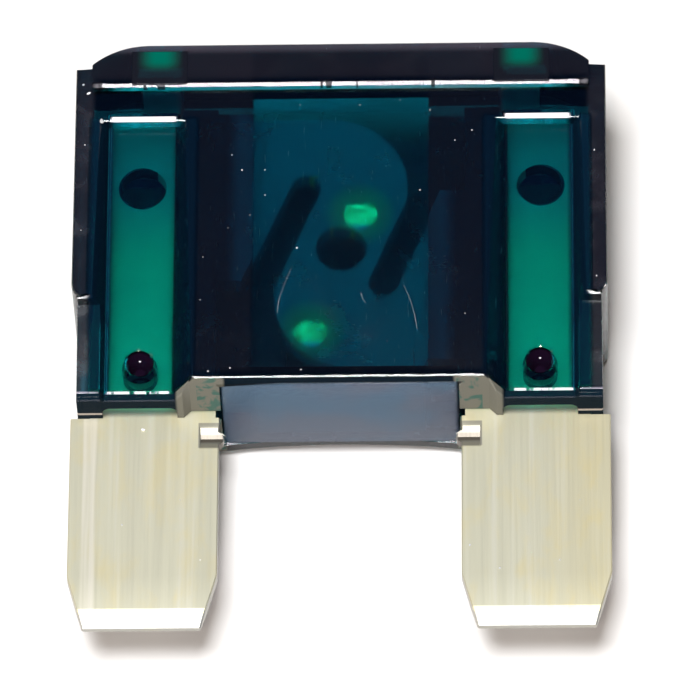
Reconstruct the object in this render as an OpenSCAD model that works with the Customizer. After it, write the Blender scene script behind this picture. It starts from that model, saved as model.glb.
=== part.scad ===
// Blade fuse of the large automotive size, lying on its back: X across the two blades,
// +Y from the blade tips to the cap, +Z up through the thickness. All lengths in mm.

/* [Overall] */
// Length from the blade tips to the top of the cap
total_len = 34.3; // [32:0.1:36]
// Width of the housing across the side flanges
body_w = 29; // [28.6:0.1:29.4]
// How far each blade's outer edge stands out past its flange
blade_over = 0.1; // [0:0.05:0.3]
// Thickness across the cap, which stands proud of the two panels
cap_t = 8.9; // [8.3:0.1:10]
// Thickness across the front and back panels
body_t = 7.9; // [7:0.1:8.2]
// Height of the moulded housing, from its bottom between the blades to the cap top
body_h = 21; // [20.6:0.1:22]

/* [Blades] */
// Width of each blade
blade_w = 8.05; // [7.8:0.05:8.3]
// Thickness of the stamped sheet
sheet_t = 0.8; // [0.6:0.05:0.9]
// Length of the corner cuts at each blade tip
tip_cut_len = 3.1; // [1.5:0.1:4]
// How far the corner cuts go into the blade width
tip_cut_in = 0.85; // [0.5:0.05:1.4]
// Length of the thickness bevel at each blade tip
tip_bevel_len = 1.1; // [0.8:0.1:1.6]
// Thickness left at the very tip
tip_edge_t = 0.3; // [0.2:0.05:0.5]
// Height of the pressed wedge notch on each blade's inner edge
notch_h = 1.3; // [0.9:0.05:1.5]
// How far the pressed notch reaches into the blade
notch_in = 1.0; // [0.6:0.05:1.3]
// How deep the notch is pressed into each face
notch_deep = 0.22; // [0.1:0.02:0.3]
// How far the metal pushed out by the notch stands beyond the inner edge
notch_swell = 0.28; // [0.1:0.02:0.35]
// Distance from the housing to the middle of the pressed notch
notch_drop = 1.22; // [1.1:0.02:2]

/* [Link] */
// Height of the bottom edge of the link above the housing bottom
link_bottom = 2.7; // [2.3:0.1:3.5]
// Height of the top edge of the link
link_top = 18.2; // [17.6:0.1:18.4]
// Width of the two slanted slots that leave the diagonal bar
slot_w = 1.65; // [1.2:0.05:1.9]
// Lean of the slots and of the bar from the length of the fuse, in degrees
slot_lean = 22.5; // [18:0.5:26]
// Distance from the link's centre to each slot's centre line, square to the slot
slot_off = 3.1; // [2.9:0.05:3.3]
// Distance along the left slot from its middle to the centre of its closed round end
slot_reach_up = 2.4; // [2:0.1:2.8]
// The same for the right slot, whose closed end points down
slot_reach_low = 1.4; // [1:0.1:2.4]
// Depth below the link's centre where a slot opens into the gap beside the loop
gap_start = 2.8; // [2:0.1:3.2]
// Radius of the rounded outside of each loop
loop_r = 4.3; // [3.6:0.1:4.6]
// Diameter of the hole in the bar, which leaves the two narrow necks that melt
neck_hole_d = 2.8; // [2.2:0.1:3]
// How far the hole lies below the link's centre
neck_hole_drop = 0.3; // [0:0.05:0.4]
// Diameter of the two pressed dimples on the bar
dimple_d = 1.8; // [1.2:0.1:1.9]
// Depth of the dimples' sloping floors at their middles
dimple_deep = 0.2; // [0.1:0.02:0.25]
// Slope of the dimples' floors, which face the blades
dimple_tilt = 18; // [12:1:22]
// Sideways distance from the link's centre to the upper dimple
dimple_up_x = 1.05; // [0.6:0.05:1.5]
// Height of the upper dimple above the link's centre
dimple_up_y = 1.85; // [1.8:0.05:2.6]
// Sideways distance from the link's centre to the lower dimple
dimple_low_x = 1.6; // [1:0.05:2]
// Depth of the lower dimple below the link's centre
dimple_low_y = 5.45; // [4.6:0.05:5.8]
// Diameter of the punched hole high in each blade
gauge_hole_d = 2.5; // [1.5:0.1:2.8]
// Height of the punched hole above the housing bottom
gauge_hole_y = 13.95; // [12:0.05:14.2]
// Width of the test tab that each blade carries up into the cap
tab_w = 2.2; // [1.6:0.1:2.6]
// How far the top of the test tab lies below the cap top
tab_below = 0.9; // [0.5:0.1:1.4]

/* [Housing] */
// Height of the underside of the cap above the housing bottom
cap_y = 18.35; // [18:0.05:18.8]
// Height of the shoulders where the side flanges end
shoulder_y = 19.8; // [19.4:0.1:20]
// How far each end of the proud cap band stays in from the flanges
cap_in = 0.85; // [0.8:0.05:2]
// Radius of each rounded cap corner
cap_round_r = 4.6; // [4.2:0.1:5]
// Distance from the flanges in to where each round corner becomes the flat cap top
cap_flat_in = 4; // [3.5:0.1:4.5]
// Width of each flange shoulder, from the flange in to the crown's round corner
shoulder_in = 0.9; // [0.5:0.1:1.2]
// How far the skirt steps in below each flange
skirt_in = 0.3; // [0.1:0.05:0.5]
// Thickness of plastic outside the sheet in the skirt
skirt_wall = 0.65; // [0.5:0.05:0.8]
// How far the skirt reaches down past the housing bottom, beside the blades
skirt_drop = 0.4; // [0.3:0.02:0.6]
// Height of the step at the lower end of each side flange
step_y = 5.1; // [4:0.1:7]
// Radius of the round corner at the flange step
step_r = 0.9; // [0.5:0.1:1.2]
// How far the flange front drops at the step
step_deep = 0.75; // [0.4:0.05:1]
// Height of the flange front above the middle plane at the very bottom
flange_low_z = 2.3; // [1.8:0.1:2.6]
// Height of each window floor above the middle plane
floor_z = 2.25; // [1.6:0.05:2.6]
// How much nearer to the outside the window floors lie at their tops
floor_climb = 0.85; // [0:0.05:1]
// Width of each window floor
floor_w = 3.75; // [3:0.05:4.2]
// Distance from the flange in to the centre line of each window
window_in = 3.68; // [3.4:0.02:4]
// Run of the sloped inner side of each window
slope_in = 1.05; // [0.5:0.05:1.3]
// Run of the sloped outer side of each window
slope_out = 0.75; // [0.4:0.05:0.9]
// Height of the top wall of each window
window_top = 16.5; // [15.6:0.1:16.9]
// Half width of the hollow in front of and behind the link
hollow_half = 4.8; // [4.4:0.1:5.2]
// Thickness of the front and back walls over the link
hollow_wall = 2.1; // [1.6:0.1:2.6]
// Thickness of the front and back walls beside the closure
wall_t = 0.8; // [0.6:0.05:1.1]
// Rise of the shallow arch in the lower edge of the back wall
arch_rise = 0.35; // [0.1:0.05:0.5]
// Diameter of each stake pit at the window floor
pit_d = 1.5; // [1.1:0.1:1.8]
// Depth of each stake pit
pit_deep = 1; // [0.8:0.05:1.6]
// Height of the stake pits above the housing bottom
pit_y = 1.9; // [1.5:0.1:3]
// Diameter of the stake that fills each blade's stake hole
stake_d = 1.5; // [1:0.05:1.6]
// Thickness of the window floors over the pocket that each blade stands in
pocket_wall = 0.8; // [0.7:0.05:1.2]
// How far each pocket reaches past both sides of its window floor
pocket_in = 0.15; // [0:0.05:0.3]
// How far each pocket reaches above its window
pocket_rise = 1.4; // [0:0.1:1.6]
// Diameter of the boss that each stake pit is pressed into
boss_d = 1.9; // [1.8:0.1:2.4]

/* [Closure] */
// Height of the closure that shuts the hollow between the blades
plug_h = 1; // [0.8:0.1:1.6]
// Small chamfer round the closure's outer face
plug_chamfer = 0.18; // [0.1:0.02:0.3]
// Depth of the hollow on the closure's inner side
plug_core = 0.4; // [0.2:0.1:0.6]

/* [Fits] */
// Gap all round the sheet in its slot, and at the closure's two ends
fit_gap = 0.06; // [0.03:0.01:0.12]
// Gap round each stake in its hole
stake_gap = 0.12; // [0.05:0.01:0.2]

/* [Hidden] */
$fn = 64;
cut = 1;
blade_out = total_len - body_h;
blade_span = body_w + 2 * blade_over;
blade_in = blade_span / 2 - blade_w;
cap_w = body_w - 2 * cap_in;
cap_flat_half = body_w / 2 - cap_flat_in;
crown_half = body_w / 2 - shoulder_in;
skirt_w = body_w - 2 * skirt_in;
floor_x = body_w / 2 - window_in;
panel_z = body_t / 2;
neck_half = skirt_w / 2 - skirt_wall;
slot_z = sheet_t / 2 + fit_gap;
sheet_top = link_top + 0.3;
tab_top = body_h - tab_below;
tab_x = floor_x - 1.05;
hollow_z = panel_z - hollow_wall;
plug_z = panel_z - wall_t;
pocket_z = floor_z - pocket_wall;
hollow_top = link_top + 0.35;
plug_half = blade_in - 0.15;
link_c = (link_bottom + link_top) / 2;
neck_in = blade_in + 0.2;
arch_r = (plug_half * plug_half + arch_rise * arch_rise) / (2 * arch_rise);
loop_x = loop_r - (slot_off - slot_w / 2) / cos(slot_lean) - gap_start * tan(slot_lean);
rib_x = floor_x + floor_w / 2 + 0.25;

module place() translate([0, (blade_out - body_h) / 2, cap_t / 2]) children();

module both_sides() {
    children();
    mirror([1, 0, 0]) children();
}

module both_faces() {
    children();
    mirror([0, 0, 1]) children();
}

// A box given by its two opposite corners.
module span(a, b) translate(a) cube(b - a);

// The crown of the housing: a flat top with a round corner at each end.
module crown_outline() intersection() {
    union() {
        translate([-cap_flat_half, step_y + step_r])
            square([2 * cap_flat_half, body_h - step_y - step_r]);
        both_sides() translate([cap_flat_half, body_h - cap_round_r]) circle(r = cap_round_r);
    }
    translate([-crown_half, 0]) square([2 * crown_half, body_h]);
}

// The front view of the housing: crown, side flanges with stepped ends, skirt and feet.
module body_outline() {
    crown_outline();
    translate([-body_w / 2, step_y + step_r]) square([body_w, shoulder_y - step_y - step_r]);
    translate([-body_w / 2 + step_r, step_y]) square([body_w - 2 * step_r, step_r + 0.01]);
    both_sides() translate([body_w / 2 - step_r, step_y + step_r]) circle(r = step_r);
    translate([-skirt_w / 2, 0]) square([skirt_w, step_y + step_r]);
    both_sides() polygon([
        [blade_in + 1.5, 0.01], [blade_in + 1.9, -skirt_drop],
        [skirt_w / 2, -skirt_drop], [skirt_w / 2, 0.01]
    ]);
}

// One window recess over a blade, with sloped sides and an upright top wall.
module window_recess() {
    rise = panel_z + cut - floor_z;
    inner = floor_x - floor_w / 2;
    outer = floor_x + floor_w / 2;
    per = rise / (panel_z - floor_z);
    translate([0, 0, floor_z]) rotate([90 + atan(floor_climb / window_top), 0, 0])
        translate([0, 0, -window_top]) linear_extrude(window_top + skirt_drop + cut)
            polygon([
                [inner, 0], [outer, 0],
                [outer + slope_out * per, rise], [inner - slope_in * per, rise]
            ]);
}

// The lowered, sloping front of a side flange below its step.
module flange_drop() {
    lean = (panel_z - step_deep - flange_low_z) / (step_y + skirt_drop);
    translate([rib_x, 0, 0]) rotate([90, 0, 90]) linear_extrude(body_w / 2 - rib_x + cut)
        polygon([
            [-skirt_drop - cut, flange_low_z - lean * cut], [step_y, panel_z - step_deep],
            [step_y, panel_z + cut], [-skirt_drop - cut, panel_z + cut]
        ]);
}

// The cone left by the staking punch in a window floor.
module stake_pit()
    translate([floor_x, pit_y, floor_z - pit_deep])
        cylinder(d1 = pit_d * 0.36, d2 = pit_d * (1 + 0.64 * cut / pit_deep), h = pit_deep + cut);

// The pocket that a blade stands in, open at the bottom, with round inner corners.
module blade_pocket() {
    r = 0.45;
    x0 = floor_x - floor_w / 2 - pocket_in;
    x1 = floor_x + floor_w / 2 + pocket_in;
    top = window_top + pocket_rise;
    difference() {
        translate([0, top, 0]) rotate([90, 0, 0]) linear_extrude(top + skirt_drop + cut) {
            translate([x0 + r, -pocket_z]) square([x1 - x0 - 2 * r, 2 * pocket_z]);
            translate([x0, -pocket_z + r]) square([x1 - x0, 2 * pocket_z - 2 * r]);
            for (x = [x0 + r, x1 - r], z = [-pocket_z + r, pocket_z - r])
                translate([x, z]) circle(r = r);
        }
        translate([floor_x, pit_y, -floor_z]) cylinder(d = boss_d, h = 2 * floor_z);
    }
}

module housing()
    color([0.0, 0.36, 0.30, 0.6]) place() difference() {
        union() {
            translate([0, 0, -panel_z]) linear_extrude(body_t) body_outline();
            translate([0, 0, -cap_t / 2]) linear_extrude(cap_t) intersection() {
                crown_outline();
                translate([-cap_w / 2, cap_y]) square([cap_w, body_h - cap_y]);
            }
        }
        both_faces() both_sides() {
            window_recess();
            flange_drop();
            stake_pit();
        }
        // flat slot for the sheet, left solid where the two stakes cross it
        difference() {
            span([-neck_half - fit_gap, -skirt_drop - cut, -slot_z],
                [neck_half + fit_gap, sheet_top + fit_gap, slot_z]);
            both_sides() translate([floor_x, pit_y, -cut]) cylinder(d = stake_d, h = 2 * cut);
        }
        both_sides() {
            blade_pocket();
            span([tab_x - tab_w / 2 - fit_gap, sheet_top, -slot_z],
                [tab_x + tab_w / 2 + fit_gap, body_h + cut, slot_z]);
        }
        span([-hollow_half, plug_h / 2, -hollow_z], [hollow_half, hollow_top, hollow_z]);
        span([-plug_half - fit_gap, -cut, -plug_z], [plug_half + fit_gap, plug_h, plug_z]);
        // shallow arch along the lower edge of the back wall
        translate([0, arch_rise - arch_r, -cap_t]) cylinder(r = arch_r, h = cap_t - plug_z + 0.2);
    }

module bottom_closure()
    color([0.0, 0.30, 0.28, 0.7]) place() difference() {
        span([-plug_half, 0, -plug_z], [plug_half, plug_h, plug_z]);
        both_faces() translate([0, 0, plug_z]) rotate([45, 0, 0])
            cube([2 * plug_half + cut, plug_chamfer * 1.414, plug_chamfer * 1.414], center = true);
        both_sides() translate([plug_half, 0, 0]) rotate([0, 0, 45])
            cube([plug_chamfer * 1.414, plug_chamfer * 1.414, 2 * plug_z + cut], center = true);
        span([-plug_half + 1.9, plug_h - plug_core, -plug_z + 0.9],
            [plug_half - 1.9, plug_h + cut, plug_z - 0.9]);
    }

// A slot of the link: a straight cut with one round closed end.
module slanted_slot(reach) {
    low = (gap_start + slot_off * sin(slot_lean)) / cos(slot_lean) + 0.5;
    rotate(-slot_lean) {
        translate([-slot_off - slot_w / 2, -low]) square([slot_w, low + reach]);
        translate([-slot_off, reach]) circle(d = slot_w);
    }
}

// The open space beside the lower loop, where its slot comes out.
module loop_gap() {
    half = (link_top - link_bottom) / 2;
    difference() {
        translate([-neck_in, -half - 0.1]) square([neck_in + loop_x, half + 0.1 - gap_start]);
        translate([loop_x, -half + loop_r]) circle(r = loop_r);
    }
}

// One blade seen from the front, with its neck and test tab inside the housing.
module blade_outline() {
    tip_y = -blade_out + tip_cut_len;
    polygon([
        [neck_in, sheet_top], [tab_x - tab_w / 2, sheet_top], [tab_x - tab_w / 2, tab_top],
        [tab_x + tab_w / 2, tab_top], [tab_x + tab_w / 2, sheet_top], [neck_half, sheet_top],
        [neck_half, -skirt_drop], [blade_span / 2, -skirt_drop], [blade_span / 2, tip_y],
        [blade_span / 2 - tip_cut_in, -blade_out], [blade_in + tip_cut_in, -blade_out],
        [blade_in, tip_y], [blade_in, -skirt_drop], [neck_in, -skirt_drop]
    ]);
}

// The S-shaped link seen from the front, reaching a little way into both blades.
module link_outline() difference() {
    translate([-neck_in - 0.6, link_bottom]) square([2 * neck_in + 1.2, link_top - link_bottom]);
    translate([0, link_c]) {
        translate([0, -neck_hole_drop]) circle(d = neck_hole_d);
        slanted_slot(slot_reach_up);
        rotate(180) slanted_slot(slot_reach_low);
        loop_gap();
        rotate(180) loop_gap();
    }
}

// The whole stamping before the pressed details: two blades joined by the link.
module flat_sheet() translate([0, 0, -sheet_t / 2]) {
    linear_extrude(sheet_t) link_outline();
    both_sides() {
        linear_extrude(sheet_t) blade_outline();
        translate([blade_in + 0.15, -skirt_drop - notch_drop, 0])
            cylinder(r = notch_swell + 0.15, h = sheet_t);
    }
}

module fuse_element()
    color([0.80, 0.79, 0.70]) place() difference() {
        flat_sheet();
        both_sides() {
            translate([floor_x, gauge_hole_y, -cut]) cylinder(d = gauge_hole_d, h = 2 * cut);
            translate([floor_x, pit_y, -cut]) cylinder(d = stake_d + 2 * stake_gap, h = 2 * cut);
        }
        // thickness bevels at the blade tips
        both_faces() translate([-blade_span / 2 - cut, -blade_out, 0]) rotate([90, 0, 90])
            linear_extrude(blade_span + 2 * cut) polygon([
                [-cut, tip_edge_t / 2 - (sheet_t - tip_edge_t) / 2 * cut / tip_bevel_len],
                [tip_bevel_len, sheet_t / 2], [tip_bevel_len, sheet_t], [-cut, sheet_t]
            ]);
        // pressed wedge notches on the inner edges
        both_faces() both_sides() translate([blade_in - cut, -skirt_drop - notch_drop, sheet_t / 2])
            rotate([90, 0, 90]) linear_extrude(cut + notch_in)
                polygon([[-notch_h / 2, 0], [0, -notch_deep], [notch_h / 2, 0], [0, cut]]);
        // dimples on the bar, above and below the hole
        for (at = [[dimple_up_x, dimple_up_y], [-dimple_low_x, -dimple_low_y]])
            translate([at[0], link_c + at[1], sheet_t / 2 - dimple_deep])
                rotate([dimple_tilt, 0, 0]) cylinder(d = dimple_d, h = cut);
    }

housing();
bottom_closure();
fuse_element();
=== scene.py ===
"""Dresses a large green blade fuse: moulded see-through housing, closure and plated element.

Every length is in metres in the row frame, unless its name ends in _mm or its class says
that it is in millimetres. Those in millimetres use the fuse's own frame: X across, Y = 0 at
the housing's bottom edge between the blades and growing towards the cap, Z = 0 in the
middle of the blades' thickness.
"""

import logging
import math
import random
from dataclasses import dataclass
from enum import Enum
from functools import cached_property
from typing import Any, Iterable, Sequence, Union

import bmesh
import bpy
from mathutils import Matrix, Vector


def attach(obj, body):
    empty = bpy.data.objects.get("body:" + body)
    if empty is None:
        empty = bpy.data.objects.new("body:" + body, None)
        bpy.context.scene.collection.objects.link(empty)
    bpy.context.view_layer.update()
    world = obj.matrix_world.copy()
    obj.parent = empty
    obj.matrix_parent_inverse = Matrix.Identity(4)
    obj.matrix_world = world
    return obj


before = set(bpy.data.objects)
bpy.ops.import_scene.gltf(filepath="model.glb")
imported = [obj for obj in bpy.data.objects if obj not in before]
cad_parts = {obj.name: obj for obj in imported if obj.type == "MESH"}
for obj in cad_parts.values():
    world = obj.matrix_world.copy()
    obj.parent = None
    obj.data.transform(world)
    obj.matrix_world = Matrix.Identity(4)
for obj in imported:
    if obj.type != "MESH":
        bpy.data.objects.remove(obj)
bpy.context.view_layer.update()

LOG = logging.getLogger("blade_fuse")
MM = 0.001
UP = Vector((0.0, 0.0, 1.0))
ORIGIN_MM = Vector((0.0, -3.85, 4.45))
PER_MM = (1.0 / MM,) * 3
NOISE_MIDDLE = 0.5

Colour = tuple[float, float, float]


def place(x_mm: float, y_mm: float, z_mm: float) -> Vector:
    """Turns a point of the fuse's own frame into the row frame.

    Args:
        x_mm: Distance across the fuse from its middle.
        y_mm: Distance above the housing's bottom edge.
        z_mm: Distance in front of the blades' middle plane.

    Returns:
        The same point in metres in the row frame.
    """
    return (Vector((x_mm, y_mm, z_mm)) + ORIGIN_MM) * MM


class Slot(Enum):
    """The record's material slots."""

    CLEAR_GREEN = "clear_green"
    CLOSURE_GREEN = "closure_green"
    PLATED_ZINC = "plated_zinc"


# Shader maths


class Value:
    """A number socket of a node that Python arithmetic can be written with."""

    def __init__(self, graph: "Graph", socket: bpy.types.NodeSocket) -> None:
        """Wraps one output socket of the graph's node tree."""
        self.graph = graph
        self.socket = socket

    def _maths(self, operation: str, *values: "Number") -> "Value":
        """Adds one Math node that works on some values, and gives its result."""
        settings = {"operation": operation}
        return self.graph.add("ShaderNodeMath", settings, dict(enumerate(values))).value()

    def __add__(self, other: "Number") -> "Value":
        """Adds a number or value."""
        return self._maths("ADD", self, other)

    __radd__ = __add__

    def __sub__(self, other: "Number") -> "Value":
        """Takes a number or value away."""
        return self._maths("SUBTRACT", self, other)

    def __rsub__(self, other: "Number") -> "Value":
        """Takes this value away from a number."""
        return self._maths("SUBTRACT", other, self)

    def __mul__(self, other: "Number") -> "Value":
        """Multiplies by a number or value."""
        return self._maths("MULTIPLY", self, other)

    __rmul__ = __mul__

    def __abs__(self) -> "Value":
        """Gives the size without the sign."""
        return self._maths("ABSOLUTE", self)

    def least(self, other: "Number") -> "Value":
        """Gives the smaller of two values."""
        return self._maths("MINIMUM", self, other)

    def most(self, other: "Number") -> "Value":
        """Gives the larger of two values."""
        return self._maths("MAXIMUM", self, other)

    def over(self, level: float) -> "Value":
        """Gives 1 above a level and 0 below it."""
        return self._maths("GREATER_THAN", self, level)

    def under(self, level: float) -> "Value":
        """Gives 1 below a level and 0 above it."""
        return self._maths("LESS_THAN", self, level)

    def power(self, other: "Number") -> "Value":
        """Raises to a power."""
        return self._maths("POWER", self, other)

    def rise(self, low: float, high: float) -> "Value":
        """Climbs smoothly from 0 to 1 between two levels.

        Args:
            low: The level at which the result leaves one end.
            high: The level at which it reaches the other; below low, it falls instead.

        Returns:
            A value between 0 and 1.
        """
        settings = {"interpolation_type": "SMOOTHSTEP", "clamp": True}
        if high > low:
            ends = {"Value": self, "From Min": low, "From Max": high}
        else:
            ends = {"Value": self, "From Min": high, "From Max": low, "To Min": 1.0, "To Max": 0.0}
        return self.graph.add("ShaderNodeMapRange", settings, ends).value()

    def band(self, centre: float, half: float, soft: float) -> "Value":
        """Gives 1 within half a width of a level, and falls to 0 over a soft edge."""
        return abs(self - centre).rise(half + soft, half)


Number = Union[Value, float]


class Coords:
    """A vector socket: points in space that patterns are laid over."""

    def __init__(self, graph: "Graph", socket: bpy.types.NodeSocket) -> None:
        """Wraps one vector output.

        Args:
            graph: The graph that it belongs to.
            socket: The output socket.
        """
        self.graph = graph
        self.socket = socket
        self._parts: "Made | None" = None

    def _maths(self, operation: str, other: "Coords | Sequence[float]") -> "Coords":
        """Adds one Vector Math node on this vector and another, and gives its result."""
        settings = {"operation": operation}
        return self.graph.add("ShaderNodeVectorMath", settings, {0: self, 1: other}).coords()

    def __sub__(self, other: "Coords | Sequence[float]") -> "Coords":
        """Moves the points back."""
        return self._maths("SUBTRACT", other)

    def __mul__(self, other: "Coords | Sequence[float]") -> "Coords":
        """Stretches the points along each axis."""
        return self._maths("MULTIPLY", other)

    def _part(self, index: int) -> Value:
        """Gives one of the vector's three numbers.

        Args:
            index: 0, 1 or 2.

        Returns:
            That number.
        """
        if self._parts is None:
            self._parts = self.graph.add("ShaderNodeSeparateXYZ", {}, {0: self})
        return self._parts.value(index)

    @property
    def x(self) -> Value:
        """The distance across."""
        return self._part(0)

    @property
    def y(self) -> Value:
        """The distance along."""
        return self._part(1)

    @property
    def z(self) -> Value:
        """The height."""
        return self._part(2)


class Tint:
    """A colour socket that colours are mixed with."""

    def __init__(self, graph: "Graph", socket: bpy.types.NodeSocket) -> None:
        """Wraps one colour output."""
        self.graph = graph
        self.socket = socket

    def toward(self, other: "Tint | Sequence[float]", share: Number) -> "Tint":
        """Blends towards another colour by a share from 0 to 1."""
        return self.graph.blend(self, other, share)


class Made:
    """A node that was just added, whose outputs are asked for by name or place."""

    def __init__(self, graph: "Graph", node: bpy.types.Node) -> None:
        """Wraps a node."""
        self.graph = graph
        self.node = node

    def socket(self, name: Union[str, int] = 0) -> bpy.types.NodeSocket:
        """Finds one output socket.

        Args:
            name: Its identifier, name or place.

        Returns:
            The socket.
        """
        if isinstance(name, int):
            shown = [s for s in self.node.outputs if s.enabled]
            return shown[name]
        for output in self.node.outputs:
            if name in (output.identifier, output.name):
                return output
        raise KeyError(name)

    def value(self, name: Union[str, int] = 0) -> Value:
        """Gives one output as a number."""
        return Value(self.graph, self.socket(name))

    def coords(self, name: Union[str, int] = 0) -> Coords:
        """Gives one output as a vector."""
        return Coords(self.graph, self.socket(name))

    def tint(self, name: Union[str, int] = 0) -> Tint:
        """Gives one output as a colour."""
        return Tint(self.graph, self.socket(name))


class Graph:
    """The node tree of one material, built from Python expressions."""

    def __init__(self, tree: bpy.types.NodeTree) -> None:
        """Empties the tree, so that the graph starts clean."""
        self.tree = tree
        tree.nodes.clear()

    @classmethod
    def of_material(cls, name: str) -> tuple[bpy.types.Material, "Graph"]:
        """Makes a material with an empty graph.

        Args:
            name: The material's name.

        Returns:
            The material and its graph.
        """
        material = bpy.data.materials.new(name)
        material.use_nodes = True
        return material, cls(material.node_tree)

    def add(
        self, kind: str, settings: dict[str, Any], inputs: dict[Union[str, int], Any]
    ) -> Made:
        """Adds a node of any type.

        Args:
            kind: The node's type.
            settings: Its properties, set first.
            inputs: Its sockets by name, identifier or place, with a value or a wrapped link.

        Returns:
            The new node.
        """
        node = self.tree.nodes.new(kind)
        for name, setting in settings.items():
            setattr(node, name, setting)
        for name, given in inputs.items():
            socket = self._input(node, name)
            if isinstance(given, Made):
                self.tree.links.new(given.socket(0), socket)
            elif hasattr(given, "socket"):
                self.tree.links.new(given.socket, socket)
            elif isinstance(given, (int, float, str)):
                socket.default_value = given
            else:
                filled = list(given)
                if len(filled) == 3 and len(socket.default_value) == 4:
                    filled.append(1.0)
                socket.default_value = filled
        return Made(self, node)

    @staticmethod
    def _input(node: bpy.types.Node, name: Union[str, int]) -> bpy.types.NodeSocket:
        """Finds one input socket.

        Args:
            node: The node that it belongs to.
            name: Its identifier, name or place.

        Returns:
            The socket.
        """
        if isinstance(name, int):
            return [s for s in node.inputs if s.enabled][name]
        for entry in node.inputs:
            if name == entry.identifier:
                return entry
        return node.inputs[name]

    def blend(
        self,
        first: "Tint | Sequence[float]",
        second: "Tint | Sequence[float]",
        share: Number,
    ) -> Tint:
        """Mixes two colours.

        Args:
            first: The colour at share 0.
            second: The colour at share 1.
            share: How much of the second.

        Returns:
            The mixed colour.
        """
        settings = {"data_type": "RGBA", "blend_type": "MIX", "clamp_factor": True}
        inputs = {"Factor_Float": share, "A_Color": first, "B_Color": second}
        return self.add("ShaderNodeMix", settings, inputs).tint("Result_Color")

    def fuse_mm(self) -> Coords:
        """Gives each shaded point in millimetres in the fuse's own frame."""
        spot = self.add("ShaderNodeTexCoord", {}, {}).coords("Object")
        return spot * PER_MM - tuple(ORIGIN_MM)

    def bump(
        self,
        height: Value,
        depth: float,
        strength: float = 1.0,
        over: "Coords | None" = None,
    ) -> Coords:
        """Turns a height into a surface normal.

        Args:
            height: The height, in units of depth.
            depth: Metres that a height of 1 stands for.
            strength: How much of it is used.
            over: A normal that this is laid over.

        Returns:
            The bumped normal.
        """
        inputs = {"Height": height, "Distance": depth, "Strength": strength}
        if over is not None:
            inputs["Normal"] = over
        return self.add("ShaderNodeBump", {}, inputs).coords("Normal")

    def finish(self, surface: Made, volume: "Made | None" = None) -> None:
        """Joins the shaders to the output.

        Args:
            surface: The surface shader.
            volume: The volume shader, if there is one.
        """
        inputs = {"Surface": surface}
        if volume is not None:
            inputs["Volume"] = volume
        self.add("ShaderNodeOutputMaterial", {}, inputs)


# Stripes, ramps and patterns that the finishes are laid out with


@dataclass(frozen=True)
class Stripe:
    """A stripe across one direction of the fuse.

    Attributes:
        centre: Its middle.
        half: Half its width.
        soft: Width of its soft edges.
    """

    centre: float
    half: float
    soft: float

    def on(self, value: Value) -> Value:
        """Gives 1 on the stripe and 0 away from it."""
        return value.band(self.centre, self.half, self.soft)


@dataclass(frozen=True)
class Ramp:
    """A smooth climb from 0 to 1.

    Attributes:
        start: Level at which the result is 0.
        end: Level at which it is 1; it may be the lower one.
    """

    start: float
    end: float

    def on(self, value: Value) -> Value:
        """Gives 0 at the start, 1 at the end and what lies between them."""
        return value.rise(self.start, self.end)


@dataclass(frozen=True)
class Disc:
    """The centre of a round mark.

    Attributes:
        across: Its distance across.
        along: Its height on the fuse.
    """

    across: float
    along: float

    def off(self, across: Value, along: Value) -> Value:
        """Gives the squared distance from it, in square millimetres."""
        return (across - self.across).power(2.0) + (along - self.along).power(2.0)


@dataclass(frozen=True)
class Patch:
    """A rectangle with soft edges.

    Attributes:
        across: Its stripe across the fuse.
        along: Its stripe along the fuse.
    """

    across: Stripe
    along: Stripe

    def on(self, across: Value, along: Value) -> Value:
        """Gives 1 on the rectangle and 0 away from it."""
        return self.across.on(across) * self.along.on(along)


@dataclass(frozen=True)
class Pattern:
    """Soft noise laid over the fuse.

    Attributes:
        scale: Bumps per millimetre.
        detail: Layers of finer noise.
        rough: Strength of the finer layers.
        twist: How much it is distorted.
        squeeze: How much closer the bumps lie along each axis.
    """

    scale: float
    detail: float
    rough: float = 0.5
    twist: float = 0.0
    squeeze: tuple[float, float, float] = (1.0, 1.0, 1.0)

    def on(self, spot: Coords) -> Value:
        """Lays the noise over the fuse.

        Args:
            spot: The shaded points on the fuse.

        Returns:
            A value around 0.5.
        """
        inputs = {"Vector": spot * self.squeeze, "Scale": self.scale, "Detail": self.detail}
        inputs |= {"Roughness": self.rough, "Distortion": self.twist}
        return spot.graph.add("ShaderNodeTexNoise", {}, inputs).value(0)


# Finishes


@dataclass(frozen=True)
class SkinMarks:
    """Faint marks that moulding and handling leave on the resin's skin.

    Attributes:
        smudges: Soft smudges.
        smudge_levels: Where the smudges begin and are full.
        fine: Fine flow lines across.
        hairs: Short upright scratches.
        hair_levels: Where the scratches begin and are full.
        waves: Wide waves of the skin.
        chips: Small chips on the lips.
        nicks: Breaks in the painted highlight on the lips.
        nick_levels: Where that painted highlight begins and is full.
        breaks: Painted shade that breaks the cap's bright lip.
        break_levels: Where that painted shade begins and is full.
    """

    smudges: Pattern = Pattern(0.35, 4.0, 0.6, 0.4)
    smudge_levels: Ramp = Ramp(0.48, 0.72)
    fine: Pattern = Pattern(2.6, 3.0, 0.6, squeeze=(1.0, 6.0, 1.0))
    hairs: Pattern = Pattern(1.3, 2.0, 0.5, 0.7, squeeze=(9.0, 0.6, 1.0))
    hair_levels: Ramp = Ramp(0.70, 0.76)
    waves: Pattern = Pattern(0.22, 2.0, 0.4)
    chips: Pattern = Pattern(2.4, 4.0, 0.7, squeeze=(1.0, 2.0, 1.0))
    nicks: Pattern = Pattern(1.9, 4.0, 0.7, squeeze=(1.0, 0.2, 0.2))
    nick_levels: Ramp = Ramp(0.40, 0.50)
    breaks: Pattern = Pattern(1.3, 1.0, squeeze=(1.0, 0.1, 0.1))
    break_levels: Ramp = Ramp(0.66, 0.67)


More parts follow.
